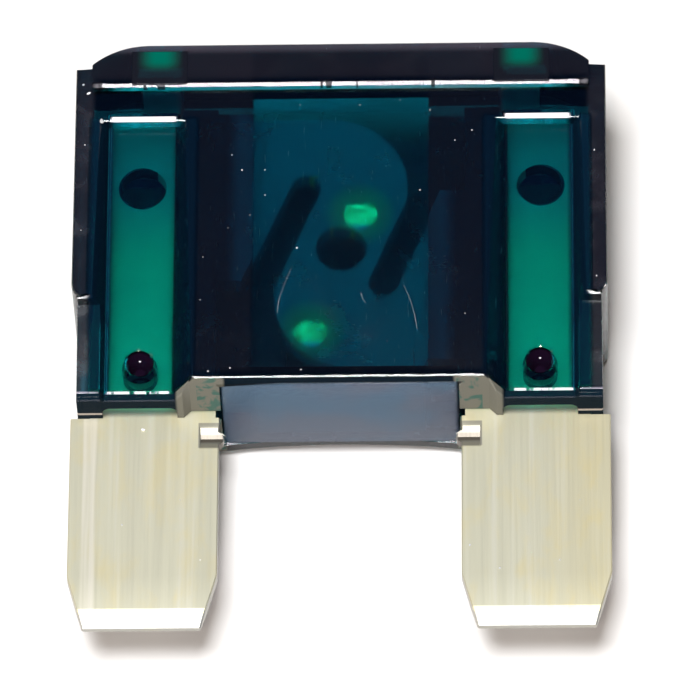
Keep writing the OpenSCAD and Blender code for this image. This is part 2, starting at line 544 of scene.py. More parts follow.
@dataclass(frozen=True)
class ZoneSizes:
    """Where the zones of the housing lie, in millimetres in the fuse's own frame.

    Attributes:
        cap: Climb along the fuse onto the raised cap.
        crest: Climb onto the cap's far edge.
        rim_across: Climb onto the side flanges.
        rim_along: Their lower end.
        side_wall: Distance across beyond which only the side walls lie.
        end_wall: Height beyond which only the end wall lies.
        mirrored: Share of the rim's marks that these walls lack.
        corner_from: Least distance across and height of the cap's rounded corners.
        corner_deep: Greatest depth of those corners.
        wall_foot: Height above which the walls lie.
        front: Depth of the front panel, left out of the walls.
        panel_across: Edge of the middle panel.
        panel_along: Its lower end.
        inner_deep: Depth below which the panel's faces are inside ones.
        inner_across: Distance across within which they are.
        inner_along: Their stretch along the fuse.
        bottom_lip: Lip at the housing's bottom.
        cap_lip: Foot of the cap.
        cap_chipped: How deep its chips are beside those of the bottom lip.
        cap_front: Depth above which only the cap's front lies.
        pit: Centre of a stake pit.
        pit_edge: Its edge, as squared distances from its centre.
        pit_floor: Depth above which the pit lies.
        speck: Centre of the painted glint in a pit.
        speck_spread: The painted glint's squared radius.
        speck_under: Depth below which the painted glint lies.
        pillar: Thick part between the hollow and a window.
        lower_faces: Fall to the faces that look down at the blades.
        outer_flank: Outer sloped side of a window.
        inner_flank: Inner sloped side of a window.
        inner_share: How much of the painted shade it gets beside the outer one.
        flank_along: Their stretch along the fuse.
        flank_deep: Depth beyond which they lie.
        highlight_along: Lip at the bottom of a window that gets a painted highlight, along the
            fuse.
        highlight_deep: The same, in depth.
        highlight_window: The same, across the window.
        highlight_flange: The same, across the side flange.
        bar: Top edge of a window, where a highlight is painted.
        bar_deep: Depth above which it lies.
        lid: End of the cap over a test opening, darkened with painted shade.
        lid_deep: Depth above which it lies.
        glow: Painted green glow in a lid.
        glow_wander: How far smudges push its edge along the fuse.
        dull_across: Outer ends of the cap's bright lip, darkened with painted shade.
        dull_along: The cap's bright lip, along the fuse.
        flecks_within: Distance across within which flecks lie on the lower faces.
        flecks_beyond: Distance across beyond which they do.
        pale_lower: Part of the lower faces that gets a painted reflection of the blades.
        seam: Depth of the pale line painted on the lower faces as a reflection of the blades.
        blade_reflection_step: How much that line drops, and the height above which it does.
        blade_reflection_beyond: Distance across beyond which that line shows.
    """

    cap: Ramp = Ramp(18.6, 19.2)
    crest: Ramp = Ramp(20.3, 20.8)
    rim_across: Ramp = Ramp(13.3, 13.7)
    rim_along: Ramp = Ramp(-0.2, 0.3)
    side_wall: float = 14.40
    end_wall: float = 20.95
    mirrored: float = 0.6
    corner_from: tuple[float, float] = (11.6, 18.6)
    corner_deep: float = 3.85
    wall_foot: float = 0.1
    front: Stripe = Stripe(3.95, 0.06, 0.01)
    panel_across: Ramp = Ramp(8.4, 7.9)
    panel_along: Ramp = Ramp(0.2, 0.6)
    inner_deep: float = 3.0
    inner_across: float = 7.8
    inner_along: Stripe = Stripe(9.0, 8.6, 0.2)
    bottom_lip: Stripe = Stripe(0.0, 0.12, 0.10)
    cap_lip: Stripe = Stripe(18.5, 0.2, 0.1)
    cap_chipped: float = 0.4
    cap_front: float = 4.02
    pit: Disc = Disc(10.82, 1.9)
    pit_edge: Ramp = Ramp(0.57, 0.50)
    pit_floor: float = 1.1
    speck: Disc = Disc(10.82, 2.45)
    speck_spread: float = 0.007
    speck_under: float = 1.75
    pillar: Stripe = Stripe(6.85, 1.9, 0.3)
    lower_faces: Ramp = Ramp(0.03, 0.0)
    outer_flank: Stripe = Stripe(13.02, 0.38, 0.35)
    inner_flank: Stripe = Stripe(8.35, 0.30, 0.4)
    inner_share: float = 0.6
    flank_along: Stripe = Stripe(8.4, 8.0, 0.3)
    flank_deep: float = 1.5
    highlight_along: Stripe = Stripe(0.09, 0.08, 0.03)
    highlight_deep: Stripe = Stripe(2.15, 0.20, 0.05)
    highlight_window: Stripe = Stripe(10.9, 1.65, 0.1)
    highlight_flange: Stripe = Stripe(13.6, 0.55, 0.1)
    bar: Patch = Patch(Stripe(10.75, 1.60, 0.25), Stripe(16.46, 0.20, 0.03))
    bar_deep: float = 3.74
    lid: Patch = Patch(Stripe(9.9, 1.50, 0.03), Stripe(19.5, 1.05, 0.03))
    lid_deep: float = 4.3
    glow: Patch = Patch(Stripe(9.9, 0.2, 1.15), Stripe(20.25, 0.25, 0.85))
    glow_wander: float = 0.6
    dull_across: Ramp = Ramp(13.0, 13.1)
    dull_along: Stripe = Stripe(18.35, 0.30, 0.02)
    flecks_within: float = 7.7
    flecks_beyond: float = 6.3
    pale_lower: Stripe = Stripe(7.5, 1.2, 0.2)
    seam: Stripe = Stripe(0.90, 0.07, 0.04)
    blade_reflection_step: tuple[float, float] = (0.35, -0.2)
    blade_reflection_beyond: float = 8.8


class HousingZones:
    """Masks of the housing's zones, each built once in one graph."""

    def __init__(self, spot: Coords, sizes: ZoneSizes, marks: SkinMarks) -> None:
        """Keeps the shaded points, the zones' places and the skin's marks."""
        self.spot, self.sizes, self.marks = spot, sizes, marks
        self.wide, self.deep = abs(spot.x), abs(spot.z)

    @cached_property
    def smudge(self) -> Value:
        """Soft smudges of handling."""
        return self.marks.smudge_levels.on(self.marks.smudges.on(self.spot))

    @cached_property
    def cap(self) -> Value:
        """The raised cap."""
        return self.sizes.cap.on(self.spot.y)

    @cached_property
    def rim(self) -> Value:
        """The side flanges and the cap, fainter on the walls that mirror the table.

        Returns:
            The mask.
        """
        sizes, along = self.sizes, self.spot.y
        flanges = sizes.rim_across.on(self.wide) * sizes.rim_along.on(along)
        sides = 1.0 - self.wide.over(sizes.side_wall) * sizes.mirrored
        end = 1.0 - along.over(sizes.end_wall) * sizes.mirrored
        return flanges.most(self.cap) * sides * end

    @cached_property
    def panel(self) -> Value:
        """The middle panel over the hollow."""
        return self.sizes.panel_across.on(self.wide) * self.sizes.panel_along.on(self.spot.y)

    @cached_property
    def inner(self) -> Value:
        """The faces inside the hollow.

        Returns:
            The mask.
        """
        sizes, spot = self.sizes, self.spot
        within = spot.z.under(sizes.inner_deep) * self.wide.under(sizes.inner_across)
        return within * sizes.inner_along.on(spot.y)

    @cached_property
    def pillar(self) -> Value:
        """The thick parts between the hollow and the windows."""
        return self.sizes.pillar.on(self.wide) * self.sizes.panel_along.on(self.spot.y)

    @cached_property
    def lips(self) -> Value:
        """The edges that catch light along chipped lips.

        Returns:
            The mask.
        """
        sizes, spot = self.sizes, self.spot
        foot = sizes.cap_lip.on(spot.y) * spot.z.over(sizes.cap_front)
        return sizes.bottom_lip.on(spot.y).most(foot * sizes.cap_chipped)

    @cached_property
    def pit(self) -> Value:
        """The stake pits, which get painted shade."""
        off = self.sizes.pit.off(self.wide, self.spot.y)
        return self.sizes.pit_edge.on(off) * self.spot.z.over(self.sizes.pit_floor)

    @cached_property
    def speck(self) -> Value:
        """The painted glint in each stake pit.

        Returns:
            The mask.
        """
        sizes, spot = self.sizes, self.spot
        spread = sizes.speck.off(self.wide, spot.y).under(sizes.speck_spread)
        return spread * self.pit * spot.z.under(sizes.speck_under)

    @cached_property
    def lower(self) -> Value:
        """The faces that look down at the blades, which get painted shade."""
        return self.sizes.lower_faces.on(self.spot.y)

    @cached_property
    def flank(self) -> Value:
        """The sloped sides of the windows, which get painted shade.

        Returns:
            The mask.
        """
        sizes = self.sizes
        inner = sizes.inner_flank.on(self.wide) * sizes.inner_share
        sides = sizes.outer_flank.on(self.wide).most(inner)
        return sides * sizes.flank_along.on(self.spot.y) * self.deep.over(sizes.flank_deep)

    @cached_property
    def painted_highlight(self) -> Value:
        """The painted highlight, broken by nicks, on the lips below the windows and the flanges.

        Returns:
            The mask.
        """
        sizes, spot = self.sizes, self.spot
        nicks = self.marks.nick_levels.on(self.marks.nicks.on(spot))
        lip = sizes.highlight_along.on(spot.y) * sizes.highlight_deep.on(spot.z) * nicks
        return lip * sizes.highlight_window.on(self.wide).most(sizes.highlight_flange.on(self.wide))

    @cached_property
    def bar(self) -> Value:
        """The top edges of the windows, where a highlight is painted."""
        edge = self.sizes.bar.on(self.wide, self.spot.y)
        return edge * self.spot.z.over(self.sizes.bar_deep)

    @cached_property
    def walls(self) -> Value:
        """The side walls and the end wall, without the front panel.

        Returns:
            The mask.
        """
        sizes, along = self.sizes, self.spot.y
        beyond, above = sizes.corner_from
        corner = along.over(above) * self.wide.over(beyond) * self.deep.under(sizes.corner_deep)
        walls = self.wide.over(sizes.side_wall).most(along.over(sizes.end_wall)).most(corner)
        return walls * along.over(sizes.wall_foot) * (1.0 - sizes.front.on(self.deep))

    @cached_property
    def crest(self) -> Value:
        """The cap's far edge."""
        return self.cap * self.sizes.crest.on(self.spot.y)

    @cached_property
    def lid(self) -> Value:
        """The cap's front over the test openings, darkened with painted shade."""
        patch = self.sizes.lid.on(self.wide, self.spot.y)
        return patch * self.spot.z.over(self.sizes.lid_deep)

    @cached_property
    def glow(self) -> Value:
        """The painted soft green glow over the test openings."""
        along = self.spot.y + self.smudge * self.sizes.glow_wander
        return self.sizes.glow.on(self.wide, along) * self.lid

    @cached_property
    def dull(self) -> Value:
        """The breaks and the ends of the cap's bright lip, darkened with painted shade.

        Returns:
            The mask.
        """
        sizes, spot = self.sizes, self.spot
        breaks = self.marks.break_levels.on(self.marks.breaks.on(spot))
        dull = sizes.dull_across.on(self.wide).most(breaks) * sizes.dull_along.on(spot.y)
        return dull * spot.z.over(sizes.cap_front)


@dataclass(frozen=True)
class FilmColours:
    """Colours of the thin films on the resin, most of them painted shade, highlights, glow and
    reflections.

    Attributes:
        flank: Painted shade, dark blue, on the sloped sides of the windows.
        wall: Green light that the side walls scatter.
        pit: Painted shade inside the stake pits.
        lid: Painted shade on the cap over the test openings.
        glow: Painted green glow in it.
        painted_highlight: White of the painted highlights on the lips, the windows' top edges and
            the pits.
        lower: Painted shade on the lower faces.
        lower_pale: Painted reflection of the blades on their part beside the closure.
        lower_fleck: Flecks on it.
        lower_blade_reflection: Pale line on them, a painted reflection of the blades.
    """

    flank: Colour = (0.002, 0.010, 0.024)
    wall: Colour = (0.0, 0.060, 0.062)
    pit: Colour = (0.008, 0.003, 0.011)
    lid: Colour = (0.007, 0.008, 0.013)
    glow: Colour = (0.0, 0.100, 0.070)
    painted_highlight: Colour = (0.95, 0.93, 1.0)
    lower: Colour = (0.003, 0.010, 0.018)
    lower_pale: Colour = (0.17, 0.17, 0.145)
    lower_fleck: Colour = (0.07, 0.14, 0.12)
    lower_blade_reflection: Colour = (0.40, 0.36, 0.33)


@dataclass(frozen=True)
class FilmShares:
    """How much of the skin each film covers.

    Attributes:
        pillar: On the thick parts.
        rim: On the side flanges.
        rim_smudged: The same, more under smudges.
        cap_bare: Share of the flanges' film that the cap lacks.
        crest: On the cap's far edge.
        cap: On the cap.
        walls: On the side and end walls.
        lid: The painted shade over the test openings.
        pit: The painted shade in the stake pits.
        flank: The painted shade on the sloped sides of the windows.
        painted_highlight: On the painted highlight of the lips.
        dull: The painted shade on the breaks and ends of the cap's lip.
        edge: Climb of the cover over which a film takes on its own colour.
        deep_edge: The same for the pits and the lower faces.
    """

    pillar: float = 0.002
    rim: float = 0.007
    rim_smudged: float = 0.008
    cap_bare: float = 0.8
    crest: float = 0.03
    cap: float = 0.004
    walls: float = 0.30
    lid: float = 0.92
    pit: float = 0.9
    flank: float = 0.7
    painted_highlight: float = 0.7
    dull: float = 0.85
    edge: Ramp = Ramp(0.0, 0.02)
    deep_edge: Ramp = Ramp(0.0, 0.05)


@dataclass(frozen=True)
class SkinRoughness:
    """What each mark adds to the roughness of the skin.

    Attributes:
        smudges: The smudges.
        fine: The flow lines.
        hairs: The scratches.
        panel: The middle panel.
        inner: The faces inside the hollow.
        rim: The side flanges.
        rim_smudged: The smudges on them.
        cap_smooth: Share of the flanges' roughness that the cap lacks.
    """

    smudges: float = 0.04
    fine: float = 0.03
    hairs: float = 0.08
    panel: float = 0.04
    inner: float = 0.16
    rim: float = 0.16
    rim_smudged: float = 0.10
    cap_smooth: float = 0.4


@dataclass(frozen=True)
class SkinRelief:
    """Depths in metres and strengths of the skin's fine relief.

    Attributes:
        wave: The wide waves' depth and strength.
        chip: The chips' depth and strength.
        mark: The flow lines' and scratches' depth and strength.
        fine: Height of the flow lines beside the scratches.
    """

    wave: tuple[float, float] = (0.00002, 0.5)
    chip: tuple[float, float] = (0.00003, 0.8)
    mark: tuple[float, float] = (0.000002, 0.5)
    fine: float = 0.5


@dataclass(frozen=True)
class TintedResin:
    """See-through moulding resin that swallows red and lets green and some blue through.

    Attributes:
        name: The material's name.
        through: Share of red, green and blue that the body colour keeps.
        density: How fast the rest is swallowed, per metre.
        skin: Tint of the skin, seen once on each way through it.
        smudged: That tint under smudges.
        smudged_by: How far the tint goes there.
        ior: Index of refraction.
        gloss: Roughness where the skin is clean.
        bloom: Colour of the milky bloom on the skin.
        clouded: Its colour in soft patches.
        cloud_levels: Where those patches begin and are full.
        veil: Share of the bloom that covers the whole piece.
        shaded_under: Share of the painted shade on the faces that look down at the blades.
        flecks: Pattern of the flecks on the lower faces.
        fleck_levels: Where the flecks begin and are full.
        films: Colours of the films, most of them painted shade, highlights, glow and reflections.
        shares: How much of the skin they cover.
        roughness: What makes the skin rough.
        relief: Its fine relief.
        sizes: Where the zones lie.
        marks: The marks on the skin.
    """

    name: str
    through: Colour = (0.0, 0.863, 0.889)
    density: float = 3000.0
    skin: Colour = (0.55, 0.99, 0.97)
    smudged: Colour = (0.50, 0.86, 0.84)
    smudged_by: float = 0.4
    ior: float = 1.55
    gloss: float = 0.03
    bloom: Colour = (0.90, 0.74, 1.0)
    clouded: Colour = (0.80, 0.74, 1.0)
    cloud_levels: Ramp = Ramp(0.42, 0.58)
    veil: float = 0.0
    shaded_under: float = 0.96
    flecks: Pattern = Pattern(1.1, 2.0, 0.6, 0.6)
    fleck_levels: Ramp = Ramp(0.50, 0.62)
    films: FilmColours = FilmColours()
    shares: FilmShares = FilmShares()
    roughness: SkinRoughness = SkinRoughness()
    relief: SkinRelief = SkinRelief()
    sizes: ZoneSizes = ZoneSizes()
    marks: SkinMarks = SkinMarks()

    def build(self) -> bpy.types.Material:
        """Makes the material.

        Returns:
            A clear body colour under a skin with faint handling marks and films of painted light
            and shade.
        """
        material, graph = Graph.of_material(self.name)
        spot = graph.fuse_mm()
        zones = HousingZones(spot, self.sizes, self.marks)
        fine = self.marks.fine.on(spot)
        hair = self.marks.hair_levels.on(self.marks.hairs.on(spot))
        wave = self.marks.waves.on(spot)
        surface = graph.add(
            "ShaderNodeBsdfPrincipled",
            {},
            {
                "Base Color": graph.blend(self.skin, self.smudged, zones.smudge * self.smudged_by),
                "Roughness": self._roughness(zones, fine, hair),
                "Normal": self._relief(graph, zones, fine, hair, wave),
                "IOR": self.ior,
                "Transmission Weight": 1.0,
            },
        )
        volume = graph.add(
            "ShaderNodeVolumeAbsorption",
            {},
            {"Color": self.through, "Density": self.density},
        )
        bloom = graph.blend(self.bloom, self.clouded, self.cloud_levels.on(wave))
        film = self._film(graph, zones, bloom)
        matt = {"Base Color": film, "Roughness": 1.0, "Specular IOR Level": 0.0}
        milk = graph.add("ShaderNodeBsdfPrincipled", {}, matt)
        shares = {0: self._haze(zones), 1: surface, 2: milk}
        graph.finish(graph.add("ShaderNodeMixShader", {}, shares), volume)
        return material

    def _roughness(self, zones: HousingZones, fine: Value, hair: Value) -> Value:
        """Works out how rough the skin is.

        Args:
            zones: The housing's zones.
            fine: The flow lines.
            hair: The scratches.

        Returns:
            The roughness.
        """
        adds = self.roughness
        rough = zones.smudge * adds.smudges + fine * adds.fine + hair * adds.hairs + self.gloss
        rough = rough + zones.panel * (adds.panel + zones.inner * adds.inner)
        rim = zones.rim * (1.0 - zones.cap * adds.cap_smooth)
        return rough + rim * (adds.rim + zones.smudge * adds.rim_smudged)

    def _relief(
        self, graph: Graph, zones: HousingZones, fine: Value, hair: Value, wave: Value
    ) -> Coords:
        """Works out the fine relief of the skin.

        Args:
            graph: The material's graph.
            zones: The housing's zones.
            fine: The flow lines.
            hair: The scratches.
            wave: The wide waves.

        Returns:
            The surface normal.
        """
        relief = self.relief
        flow = graph.bump(wave, *relief.wave)
        chips = self.marks.chips.on(zones.spot)
        nicked = graph.bump(chips * zones.lips, *relief.chip, flow)
        return graph.bump(fine * relief.fine + hair, *relief.mark, nicked)

    def _haze(self, zones: HousingZones) -> Value:
        """Works out how much of the skin a film covers.

        Args:
            zones: The housing's zones.

        Returns:
            The covered share.
        """
        shares = self.shares
        rim = zones.rim * (1.0 - zones.cap * shares.cap_bare)
        haze = zones.pillar * shares.pillar + rim * (
            shares.rim + zones.smudge * shares.rim_smudged
        )
        haze = haze + zones.crest * shares.crest + zones.cap * shares.cap
        haze = (haze + zones.walls * shares.walls).most(zones.lid * shares.lid)
        haze = haze.most(zones.lower * self.shaded_under).most(zones.pit * shares.pit)
        haze = haze.most(zones.flank * shares.flank).most(zones.painted_highlight * shares.painted_highlight)
        return haze.most(zones.bar).most(zones.dull * shares.dull) + self.veil

    def _film(self, graph: Graph, zones: HousingZones, bloom: Tint) -> Tint:
        """Colours the films, most of them painted shade, highlights, glow and reflections.

        Args:
            graph: The material's graph.
            zones: The housing's zones.
            bloom: Colour of the milky bloom.

        Returns:
            The films' colour.
        """
        films, edge, deep_edge = self.films, self.shares.edge, self.shares.deep_edge
        # Painted shade: dark blue on the windows' sloped sides.
        film = bloom.toward(films.flank, edge.on(zones.flank))
        film = film.toward(films.wall, zones.walls)
        # Painted shade inside the stake pits.
        film = film.toward(films.pit, deep_edge.on(zones.pit))
        # Painted shade over the test openings with a painted green glow, also on the cap lip's
        # breaks and ends.
        lid = graph.blend(films.lid, films.glow, zones.glow)
        film = film.toward(lid, edge.on(zones.lid.most(zones.dull)))
        # Painted highlights: white on the pits' glints, the broken lips and the windows' top edges.
        film = film.toward(films.painted_highlight, zones.speck.most(zones.painted_highlight).most(edge.on(zones.bar)))
        lower = self._lower_faces(graph, zones)
        # Painted shade on the faces that look down at the blades.
        return film.toward(lower, deep_edge.on(zones.lower * self.shaded_under))

    def _lower_faces(self, graph: Graph, zones: HousingZones) -> Tint:
        """Paints shade on the faces that look down at the blades, with painted reflections of the
        blades.

        Args:
            graph: The material's graph.
            zones: The housing's zones.

        Returns:
            Their colour.
        """
        sizes, films, spot, wide = self.sizes, self.films, zones.spot, zones.wide
        flecks = self.fleck_levels.on(self.flecks.on(spot)) * wide.under(sizes.flecks_within)
        # A pale line painted just above the blades: a painted reflection of them.
        drop, above = sizes.blade_reflection_step
        seam = sizes.seam.on(spot.z + spot.y.over(above) * drop) * wide.over(sizes.blade_reflection_beyond)
        # Painted reflection of the blades on the lower faces beside the closure, with flecks.
        lower = graph.blend(films.lower, films.lower_pale, sizes.pale_lower.on(wide))
        lower = lower.toward(films.lower_fleck, flecks * wide.over(sizes.flecks_beyond))
        return lower.toward(films.lower_blade_reflection, seam)


@dataclass(frozen=True)
class StampedMarks:
    """Where the element's own marks lie, in millimetres in the fuse's own frame.

    Attributes:
        drawn: Fine lines of drawing.
        line_levels: Where they begin and are full.
        coarse: Coarse lines of drawing.
        band_levels: Where they begin and are full.
        patches: Yellowed patches.
        patch_levels: Where the patches begin and are full.
        side: Climb to the yellower side of the element.
        streak: Bright streak along one blade.
        streak_levels: Where the streak begins and is full.
        sheared: Fall from the front plating to the cut edges.
        inside: Climb into the housing.
        shaded: Climb to the top of the windows, where shade is painted.
        pillar: Edge of the painted shade, near black, behind the thick parts.
        link: Edge of the link, which gets painted shade.
        upper: The link's upper dimple.
        lower: Its lower dimple.
        ragged: Ragged edge of the dimples.
        ragged_by: How far it wanders, as squared distances.
        stamped: Edge of the dimples that get a painted glint, as squared distances.
        stamped_deep: Depth of the dimples' floors.
        halo: Edge of the painted glow round them, as squared distances.
        halo_deep: Depth above which the painted glow lies.
        rims: Short painted highlights over the link's hole and at the end of a slot.
        swell: Pressed block at the root of each blade, darkened with painted shade.
        swell_side: Fall to the block's shaded side, where deeper shade is painted.
        bore: Centre of each blade's test hole, darkened with painted shade.
        bore_spread: Squared radius that its wall lies within.
        dents: Dents in the dimples.
    """

    drawn: Pattern = Pattern(1.0, 4.0, 0.7, squeeze=(7.0, 0.12, 3.0))
    line_levels: Ramp = Ramp(0.50, 0.80)
    coarse: Pattern = Pattern(1.0, 2.0, 0.5, squeeze=(2.2, 0.05, 1.0))
    band_levels: Ramp = Ramp(0.52, 0.75)
    patches: Pattern = Pattern(1.0, 4.0, 0.6, 0.3, squeeze=(0.5, 0.25, 0.5))
    patch_levels: Ramp = Ramp(0.45, 0.70)
    side: Ramp = Ramp(10.4, 13.4)
    streak: Stripe = Stripe(-13.5, 0.30, 0.20)
    streak_levels: Ramp = Ramp(0.30, 0.50)
    sheared: Ramp = Ramp(0.33, 0.30)
    inside: Ramp = Ramp(-0.2, 0.4)
    shaded: Ramp = Ramp(9.0, 15.0)
    pillar: Ramp = Ramp(9.0, 8.6)
    link: Ramp = Ramp(6.4, 5.4)
    upper: Disc = Disc(1.05, 12.3)
    lower: Disc = Disc(-1.6, 5.0)
    ragged: Pattern = Pattern(2.4, 4.0, 0.8, 1.0, squeeze=(1.0, 1.5, 1.0))
    ragged_by: float = 5.0
    stamped: Ramp = Ramp(1.2, 0.9)
    stamped_deep: Stripe = Stripe(0.22, 0.15, 0.03)
    halo: Ramp = Ramp(4.5, 0.2)
    halo_deep: float = 0.1
    rims: tuple[Patch, Patch] = (
        Patch(Stripe(0.2, 0.7, 0.15), Stripe(11.4, 0.04, 0.04)),
        Patch(Stripe(-1.7, 0.35, 0.15), Stripe(14.6, 0.04, 0.04)),
    )
    swell: Patch = Patch(Stripe(7.0, 0.63, 0.06), Stripe(-1.5, 0.75, 0.05))
    swell_side: Ramp = Ramp(0.30, 0.24)
    bore: Disc = Disc(10.92, 13.95)
    bore_spread: float = 1.72
    dents: Pattern = Pattern(2.2, 3.0, 0.6)


@dataclass(frozen=True)
class PlatingShares:
    """How strongly each mark colours the plating, or makes it rough.

    Attributes:
        patches: Yellowed patches.
        side: The yellower side.
        lines: Fine drawn lines.
        bands: Coarse ones.
        streak: The bright streak.
        sheared: The cut edges.
        halo: Painted glow round the dimples.
        rims: The short painted highlights.
        swell: Painted shade on the pressed blocks.
        swell_side: Painted shade on their shaded sides.
        rough: Roughness of the bare plating.
        rough_lines: What the fine lines add to it.
        rough_bands: What the coarse ones add.
        dimple_smooth: Share of the roughness that the dimples lack.
    """

    patches: float = 0.55
    side: float = 0.35
    lines: float = 0.20
    bands: float = 0.4
    streak: float = 0.8
    sheared: float = 0.8
    halo: float = 0.70
    rims: float = 0.8
    swell: float = 0.85
    swell_side: float = 0.8
    rough: float = 0.34
    rough_lines: float = 0.12
    rough_bands: float = 0.10
    dimple_smooth: float = 0.72


@dataclass(frozen=True)
class PlatedMetal:
    """Bright plating over stamped zinc, drawn lengthwise, greyer on its sheared edges.

    Attributes:
        name: The material's name.
        bright: Colour of the plated faces of the blades.
        warm: Colour of the yellowed patches.
        line: Colour of the fine drawn lines.
        band: Colour of the coarse ones.
        streak: Colour of the bright streak.
        sheared: Colour of the cut edges.
        window_lit_plating: Plating inside the housing behind the windows, brighter and greener:
            painted light.
        shaded: Its colour near the top of the windows: painted shade.
        pillar: Plating behind the thick parts of the housing, near black: painted shade.
        link: Colour of the thin link inside the housing, darker and bluer: painted shade.
        painted_glint: Colour of the painted glints on the link's dimples and over its hole.
        halo: Colour of the painted glow round the dimples.
        swell: Colour of the pressed blocks, darkened: painted shade.
        swell_side: Colour of their shaded sides: painted shade.
        bore: Colour of the walls of the test holes, near black: painted shade.
        metallic: Share of metal in the finish.
        dent_depth: Metres that the dimples' dents stand for.
        line_depth: The same for the drawn lines.
        line_strength: How much of the lines' relief is used.
        marks: Where the marks lie.
        shares: How strong they are.
    """

    name: str
    bright: Colour = (0.63, 0.61, 0.45)
    warm: Colour = (0.70, 0.61, 0.33)
    line: Colour = (0.36, 0.34, 0.27)
    band: Colour = (0.66, 0.65, 0.56)
    streak: Colour = (0.78, 0.74, 0.60)
    sheared: Colour = (0.36, 0.36, 0.35)
    window_lit_plating: Colour = (0.86, 0.99, 0.53)
    shaded: Colour = (0.55, 0.66, 0.56)
    pillar: Colour = (0.05, 0.05, 0.08)
    link: Colour = (0.16, 0.46, 0.58)
    painted_glint: Colour = (1.0, 1.0, 0.30)
    halo: Colour = (0.50, 1.0, 0.36)
    swell: Colour = (0.27, 0.26, 0.22)
    swell_side: Colour = (0.13, 0.11, 0.09)
    bore: Colour = (0.04, 0.05, 0.07)
    metallic: float = 0.72
    dent_depth: float = 0.00010
    line_depth: float = 0.000012
    line_strength: float = 0.6
    marks: StampedMarks = StampedMarks()
    shares: PlatingShares = PlatingShares()

    def build(self) -> bpy.types.Material:
        """Makes the material.

        Returns:
            Metal with drawn lines, yellowed patches and dull cut edges, and painted light, shade
            and glints.
        """
        material, graph = Graph.of_material(self.name)
        spot, marks, shares = graph.fuse_mm(), self.marks, self.shares
        drawn, coarse = marks.drawn.on(spot), marks.coarse.on(spot)
        near = marks.upper.off(spot.x, spot.y).least(marks.lower.off(spot.x, spot.y))
        wander = (marks.ragged.on(spot) - NOISE_MIDDLE) * marks.ragged_by
        # The dimples' mask: smoother, dented floors that also get a painted glint.
        stamped = marks.stamped.on(near + wander) * marks.stamped_deep.on(spot.z)
        tone = self._blades(graph, spot, drawn, coarse)
        tone = self._link(graph, spot, tone, near)
        # Painted glints on the dimples, and short painted highlights over the hole and a slot.
        tone = tone.toward(self.painted_glint, stamped)
        upper, lower = (rim.on(spot.x, spot.y) for rim in marks.rims)
        tone = tone.toward(self.painted_glint, upper.most(lower) * shares.rims)
        tone = self._roots(spot, tone)
        rough = drawn * shares.rough_lines + coarse * shares.rough_bands + shares.rough
        lines = graph.bump(drawn, self.line_depth, self.line_strength)
        surface = graph.add(
            "ShaderNodeBsdfPrincipled",
            {},
            {
                "Base Color": tone,
                "Roughness": rough * (1.0 - stamped * shares.dimple_smooth),
                "Normal": graph.bump(marks.dents.on(spot) * stamped, self.dent_depth, over=lines),
                "Metallic": self.metallic,
            },
        )
        graph.finish(surface)
        return material

    def _blades(self, graph: Graph, spot: Coords, drawn: Value, coarse: Value) -> Tint:
        """Colours the plating of the blades.

        Args:
            graph: The material's graph.
            spot: The shaded points on the fuse.
            drawn: The fine drawn lines.
            coarse: The coarse ones.

        Returns:
            The plating's colour.
        """
        marks, shares = self.marks, self.shares
        patch = marks.patch_levels.on(marks.patches.on(spot))
        yellowed = patch * shares.patches + marks.side.on(spot.x) * shares.side
        tone = graph.blend(self.bright, self.warm, yellowed)
        tone = tone.toward(self.line, marks.line_levels.on(drawn) * shares.lines)
        tone = tone.toward(self.band, marks.band_levels.on(coarse) * shares.bands)
        streak = marks.streak.on(spot.x) * marks.streak_levels.on(coarse)
        tone = tone.toward(self.streak, streak * shares.streak)
        return tone.toward(self.sheared, marks.sheared.on(spot.z) * shares.sheared)

    def _link(self, graph: Graph, spot: Coords, tone: Tint, near: Value) -> Tint:
        """Paints light and shade on what lies inside the housing.

        Args:
            graph: The material's graph.
            spot: The shaded points on the fuse.
            tone: Colour of the blades.
            near: Squared distance from the nearer dimple.

        Returns:
            The colour inside and outside.
        """
        marks, wide = self.marks, abs(spot.x)
        inside = marks.inside.on(spot.y)
        # Painted light behind the windows, fading to painted shade near their top.
        behind = graph.blend(self.window_lit_plating, self.shaded, marks.shaded.on(spot.y))
        tone = tone.toward(behind, inside)
        # Painted shade: near black behind the thick parts, darker and bluer on the link.
        tone = tone.toward(self.pillar, marks.pillar.on(wide) * inside)
        tone = tone.toward(self.link, marks.link.on(wide) * inside)
        # Painted green glow round the dimples.
        halo = marks.halo.on(near) * inside * spot.z.over(marks.halo_deep)
        return tone.toward(self.halo, halo * self.shares.halo)

    def _roots(self, spot: Coords, tone: Tint) -> Tint:
        """Paints shade on the pressed blocks at the blades' roots and on the test holes' walls.

        Args:
            spot: The shaded points on the fuse.
            tone: Colour of the rest.

        Returns:
            The colour with both.
        """
        marks, shares, wide = self.marks, self.shares, abs(spot.x)
        swell = marks.swell.on(wide, spot.y)
        # Painted shade on the pressed blocks, on their shaded sides and in the test holes.
        tone = tone.toward(self.swell, swell * shares.swell)
        tone = tone.toward(self.bore, marks.bore.off(wide, spot.y).under(marks.bore_spread))
        side = swell * marks.swell_side.on(spot.z)
        return tone.toward(self.swell_side, side * shares.swell_side)


@dataclass(frozen=True)
class PaleTable:
    """A plain matt white sheet of board.

    Attributes:
        name: The material's name.
        colour: Its colour.
        matt: How rough it is.
    """

    name: str = "pale_table"
    colour: Colour = (0.74, 0.74, 0.74)
    matt: float = 0.4

    def build(self) -> bpy.types.Material:
        """Makes the material.

        Returns:
            The matt board.
        """
        material, graph = Graph.of_material(self.name)
        matt = {"Color": self.colour, "Roughness": self.matt}
        surface = graph.add("ShaderNodeBsdfDiffuse", {}, matt)
        graph.finish(surface)
        return material


# Camera and studio


